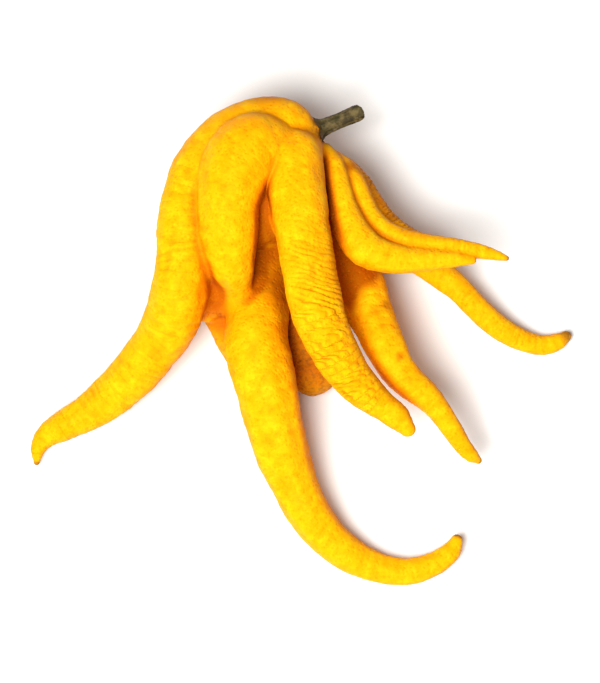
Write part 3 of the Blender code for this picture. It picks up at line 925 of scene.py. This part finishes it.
def rind_material():
    k = Nodes("citron_rind")
    pos = k.position()
    open_, tip, far = channels(k, "form")
    tone, shaded_flank, own = channels(k, "place")
    phase, mask, worn_and_shaded = channels(k, "wrinkle")
    shade_and_blotches_in = channels(k, "shade")[0]

    # wrinkles: short broken lines across the finger
    row = k.math('ROUND', phase)
    off = k.math('ABSOLUTE', k.math('SUBTRACT', phase, row))
    shift = k.new("ShaderNodeCombineXYZ")
    for axis, step in enumerate((3.71, 1.93, 2.37)):
        k.link(k.math('MULTIPLY', row, step), shift.inputs[axis])
    spot = k.new("ShaderNodeVectorMath", operation='MULTIPLY_ADD')
    k.link(pos, spot.inputs[0])
    spot.inputs[1].default_value = (105.0, 105.0, 105.0)
    k.link(shift.outputs[0], spot.inputs[2])
    dash = k.noise(spot.outputs[0], 1.0, 2.0, 0.5)
    dash = k.remap(dash, 0.37, 0.52, 0.0, 1.0, smooth=True)
    half = k.remap(k.noise(pos, 260.0, 1.0), 0.3, 0.7, 0.12, 0.25)
    line = k.math('SUBTRACT', 1.0, k.math('DIVIDE', off, half), clamp=True)
    line = k.math('MULTIPLY', k.math('MULTIPLY', line, dash), mask)
    swell = k.math('MULTIPLY', k.remap(off, 0.0, 0.42, 0.0, 1.0, smooth=True), mask)

    # streaks of tone across the finger
    streak_at = k.new("ShaderNodeCombineXYZ")
    sep = k.new("ShaderNodeSeparateXYZ")
    k.link(pos, sep.inputs[0])
    k.link(k.math('MULTIPLY', phase, 0.85), streak_at.inputs[0])
    k.link(k.math('MULTIPLY', sep.outputs[0], 130.0), streak_at.inputs[1])
    k.link(k.math('MULTIPLY', sep.outputs[2], 130.0), streak_at.inputs[2])
    streak = k.noise(streak_at.outputs[0], 1.0, 2.0, 0.6)
    streak = k.math('MULTIPLY', k.math('SUBTRACT', streak, 0.5), own)

    wash = k.noise(pos, 95.0, 4.0, 0.6)
    fine = k.noise(pos, 360.0, 3.0, 0.6)
    level = k.math('ADD', k.math('MULTIPLY', wash, 0.32), k.math('MULTIPLY', tone, 0.08))
    level = k.math('ADD', level, k.math('MULTIPLY', fine, 0.60))
    level = k.math('ADD', level, k.math('MULTIPLY', streak, 0.62))
    body = k.ramp(level, [
        (0.28, (0.92, 0.300, 0.001)), (0.43, (0.93, 0.365, 0.001)), (0.57, (0.93, 0.418, 0.002)),
        (0.74, (0.92, 0.500, 0.004))])
    # painted shade: deeper orange in folds and creases, darker the more closed they are
    valley = k.remap(open_, 0.58, 0.94, 1.0, 0.0, smooth=True)
    colour = k.mix(k.math('MULTIPLY', valley, 0.66), body, (0.82, 0.215, 0.001, 1))
    # painted shade in the hollows between fingers, with three small brownish blotches
    shade_and_blotches = k.remap(shade_and_blotches_in, 0.14, 0.56, 0.0, 1.0, smooth=True)
    colour = k.mix(k.math('MULTIPLY', shade_and_blotches, 0.94), colour, (0.43, 0.093, 0.001, 1))
    fold = k.remap(open_, 0.30, 0.72, 1.0, 0.0, smooth=True)
    colour = k.mix(k.math('MULTIPLY', fold, 0.76), colour, (0.42, 0.075, 0.001, 1))
    deep = k.remap(open_, 0.05, 0.40, 1.0, 0.0, smooth=True)
    colour = k.mix(k.math('MULTIPLY', deep, 0.76), colour, (0.20, 0.030, 0.001, 1))
    # painted shade: a little more orange on the flanks turned from the key light than on the side it falls on
    colour = k.mix(k.math('MULTIPLY', shaded_flank, 0.72), colour, (0.56, 0.135, 0.001, 1))
    # oil glands as slightly darker dots
    gland = k.remap(k.cells(pos, 620.0), 0.0, 0.42, 1.0, 0.0, smooth=True)
    colour = k.mix(k.math('MULTIPLY', gland, 0.27), colour, (0.80, 0.215, 0.001, 1))
    # painted shade: the wrinkle lines drawn darker, as the shade inside each crease
    colour = k.mix(k.math('MULTIPLY', line, 0.70), colour, (0.50, 0.175, 0.003, 1))
    # dry tips
    tipped = k.math('MULTIPLY', tip, k.remap(k.noise(pos, 420.0, 2.0), 0.3, 0.6, 0.5, 1.0))
    colour = k.mix(k.math('MULTIPLY', tipped, 0.85), colour, (0.20, 0.070, 0.010, 1))
    # dry skin round the stalk
    ring = k.remap(far, 0.095, 0.17, 1.0, 0.0, smooth=True)
    colour = k.mix(k.math('MULTIPLY', ring, k.remap(fine, 0.38, 0.62, 0.10, 0.85)), colour, (0.36, 0.105, 0.012, 1))
    # rough brown freckles on the weathered fingers
    freckle = k.remap(k.noise(pos, 520.0, 3.0, 0.6), 0.50, 0.60, 0.0, 1.0, smooth=True)
    freckle = k.math('MULTIPLY', freckle, worn_and_shaded)
    # darker orange-brown on those fingers: weathered skin together with painted shade
    colour = k.mix(k.math('MULTIPLY', worn_and_shaded, 0.72), colour, (0.42, 0.115, 0.005, 1))
    colour = k.mix(k.math('MULTIPLY', freckle, 0.60), colour, (0.24, 0.075, 0.010, 1))
    k.link(colour, k.bsdf.inputs["Base Color"])

    rough = k.remap(k.noise(pos, 140.0, 3.0), 0.3, 0.7, 0.44, 0.60)
    k.link(rough, k.bsdf.inputs["Roughness"])
    k.bsdf.inputs["IOR"].default_value = 1.45
    k.bsdf.inputs["Specular IOR Level"].default_value = 0.05
    k.bsdf.inputs["Specular Tint"].default_value = (1.0, 0.80, 0.30, 1.0)
    k.bsdf.inputs["Subsurface Weight"].default_value = 0.16
    k.bsdf.inputs["Subsurface Radius"].default_value = (1.0, 0.45, 0.08)
    k.bsdf.inputs["Subsurface Scale"].default_value = 0.0022

    pits = k.remap(k.cells(pos, 620.0, 'SMOOTH_F1', 1.0, 0.35), 0.05, 0.5, 0.0, 1.0, smooth=True)
    b1 = k.bump(pits, 0.00020, 0.8)
    b2 = k.bump(k.noise(pos, 300.0, 4.0, 0.55), 0.0006, 0.5, b1)
    b3 = k.bump(k.noise(pos, 110.0, 2.0, 0.5), 0.0010, 0.35, b2)
    b4 = k.bump(k.math('SUBTRACT', k.math('MULTIPLY', swell, 0.6), line), 0.00034, 0.9, b3)
    k.link(b4, k.bsdf.inputs["Normal"])
    return k.mat


def stalk_material():
    k = Nodes("citron_stalk")
    pos = k.position()
    side, cut, height = channels(k, "stalk")
    stretch = k.new("ShaderNodeCombineXYZ")
    k.link(k.math('MULTIPLY', side, 9.0), stretch.inputs[0])
    k.link(k.math('MULTIPLY', height, 2.2), stretch.inputs[1])
    sep = k.new("ShaderNodeSeparateXYZ")
    k.link(pos, sep.inputs[0])
    k.link(k.math('MULTIPLY', sep.outputs[2], 900.0), stretch.inputs[2])
    streak = k.noise(stretch.outputs[0], 1.0, 4.0, 0.6)
    bark = k.ramp(streak, [(0.30, (0.012, 0.008, 0.002)), (0.50, (0.038, 0.027, 0.006)), (0.70, (0.090, 0.070, 0.020))])
    pale = k.remap(k.noise(pos, 240.0, 4.0, 0.65), 0.44, 0.66, 0.0, 1.0, smooth=True)
    bark = k.mix(k.math('MULTIPLY', pale, 0.55), bark, (0.215, 0.155, 0.058, 1))
    green = k.remap(k.noise(pos, 190.0, 2.0), 0.50, 0.64, 0.0, 1.0)
    bark = k.mix(k.math('MULTIPLY', green, 0.18), bark, (0.045, 0.058, 0.012, 1))
    wood = k.ramp(k.noise(pos, 900.0, 3.0, 0.6), [(0.3, (0.34, 0.23, 0.085)), (0.6, (0.56, 0.44, 0.22))])
    colour = k.mix(k.remap(cut, 0.35, 0.75, 0.0, 1.0), bark, wood)
    k.link(colour, k.bsdf.inputs["Base Color"])
    k.bsdf.inputs["Roughness"].default_value = 0.72
    k.bsdf.inputs["Specular IOR Level"].default_value = 0.25
    b1 = k.bump(streak, 0.0005, 0.7)
    b2 = k.bump(k.noise(pos, 1100.0, 3.0), 0.0002, 0.6, b1)
    k.link(b2, k.bsdf.inputs["Normal"])
    return k.mat


def calyx_material():
    k = Nodes("citron_calyx")
    pos = k.position()
    reach, lobe, _ = channels(k, "calyx")
    grain = k.noise(pos, 520.0, 4.0, 0.6)
    leaf = k.ramp(grain, [(0.32, (0.026, 0.022, 0.005)), (0.52, (0.055, 0.046, 0.009)), (0.70, (0.105, 0.074, 0.018))])
    dry = k.math('ADD', k.remap(reach, 0.70, 1.0, 0.0, 0.75), k.math('MULTIPLY', grain, 0.35), clamp=True)
    colour = k.mix(dry, leaf, (0.090, 0.040, 0.010, 1))
    k.link(colour, k.bsdf.inputs["Base Color"])
    k.bsdf.inputs["Roughness"].default_value = 0.70
    k.bsdf.inputs["Specular IOR Level"].default_value = 0.25
    k.link(k.bump(grain, 0.0005, 0.7), k.bsdf.inputs["Normal"])
    return k.mat


# ------------------------------------------------------------------- the scene
def make_floor():
    mesh = bpy.data.meshes.new("floor")
    w = 4.0
    mesh.from_pydata([(-w, -w, 0), (w, -w, 0), (w, w, 0), (-w, w, 0)], [], [(0, 1, 2, 3)])
    floor = add_object("floor", mesh)
    k = Nodes("floor_white")
    k.bsdf.inputs["Base Color"].default_value = (0.86, 0.86, 0.86, 1)
    k.bsdf.inputs["Roughness"].default_value = 0.9
    k.bsdf.inputs["Specular IOR Level"].default_value = 0.1
    mesh.materials.append(k.mat)
    return floor


def look_at(ob, target):
    d = np.asarray(target, float) - np.array(ob.location)
    ob.rotation_euler = Vector(d).to_track_quat('-Z', 'Y').to_euler()


def make_camera():
    elev = math.radians(80.0)
    dist = 2.2
    target = np.array([0.0, 0.0, 0.022])
    cam = bpy.data.cameras.new("camera")
    cam.sensor_fit = 'HORIZONTAL'
    cam.sensor_width = 36.0
    cam.lens = 36.0 * dist / 0.232
    cam.clip_start = 0.1
    cam.clip_end = 20.0
    ob = bpy.data.objects.new("camera", cam)
    bpy.context.scene.collection.objects.link(ob)
    ob.location = target + dist * np.array([0.0, -math.cos(elev), math.sin(elev)])
    ob.rotation_euler = (math.radians(90.0) - elev, 0.0, 0.0)
    bpy.context.scene.camera = ob
    return ob


def area_light(name, place, size, power, colour, target=(0, 0, 0.02)):
    light = bpy.data.lights.new(name, 'AREA')
    light.shape = 'DISK'
    light.size = size
    light.energy = power
    light.color = colour
    ob = bpy.data.objects.new(name, light)
    bpy.context.scene.collection.objects.link(ob)
    ob.location = place
    look_at(ob, target)
    return ob


def make_lights():
    area_light("key", (-0.48, -0.64, 1.76), 1.10, 59.0, (1.0, 0.985, 0.95))
    world = bpy.data.worlds.new("studio")
    world.use_nodes = True
    back = world.node_tree.nodes["Background"]
    back.inputs[0].default_value = (1.0, 1.0, 1.0, 1)
    back.inputs[1].default_value = 0.375
    bpy.context.scene.world = world


def main():
    bpy.context.scene.view_settings.view_transform = 'Standard'
    bpy.context.scene.view_settings.look = 'None'
    make_camera()
    make_lights()
    make_floor()

    rind, solid, lo = make_rind()
    for piece, material, node, slot in (
            (rind, rind_material(), "fruit", "rind"),
            (make_calyx(solid, lo), calyx_material(), "calyx", "calyx"),
            (make_stalk(), stalk_material(), "stem", "stalk")):
        piece.data.materials.clear()
        piece.data.materials.append(material)
        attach(piece, "root")
        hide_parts(node)


main()
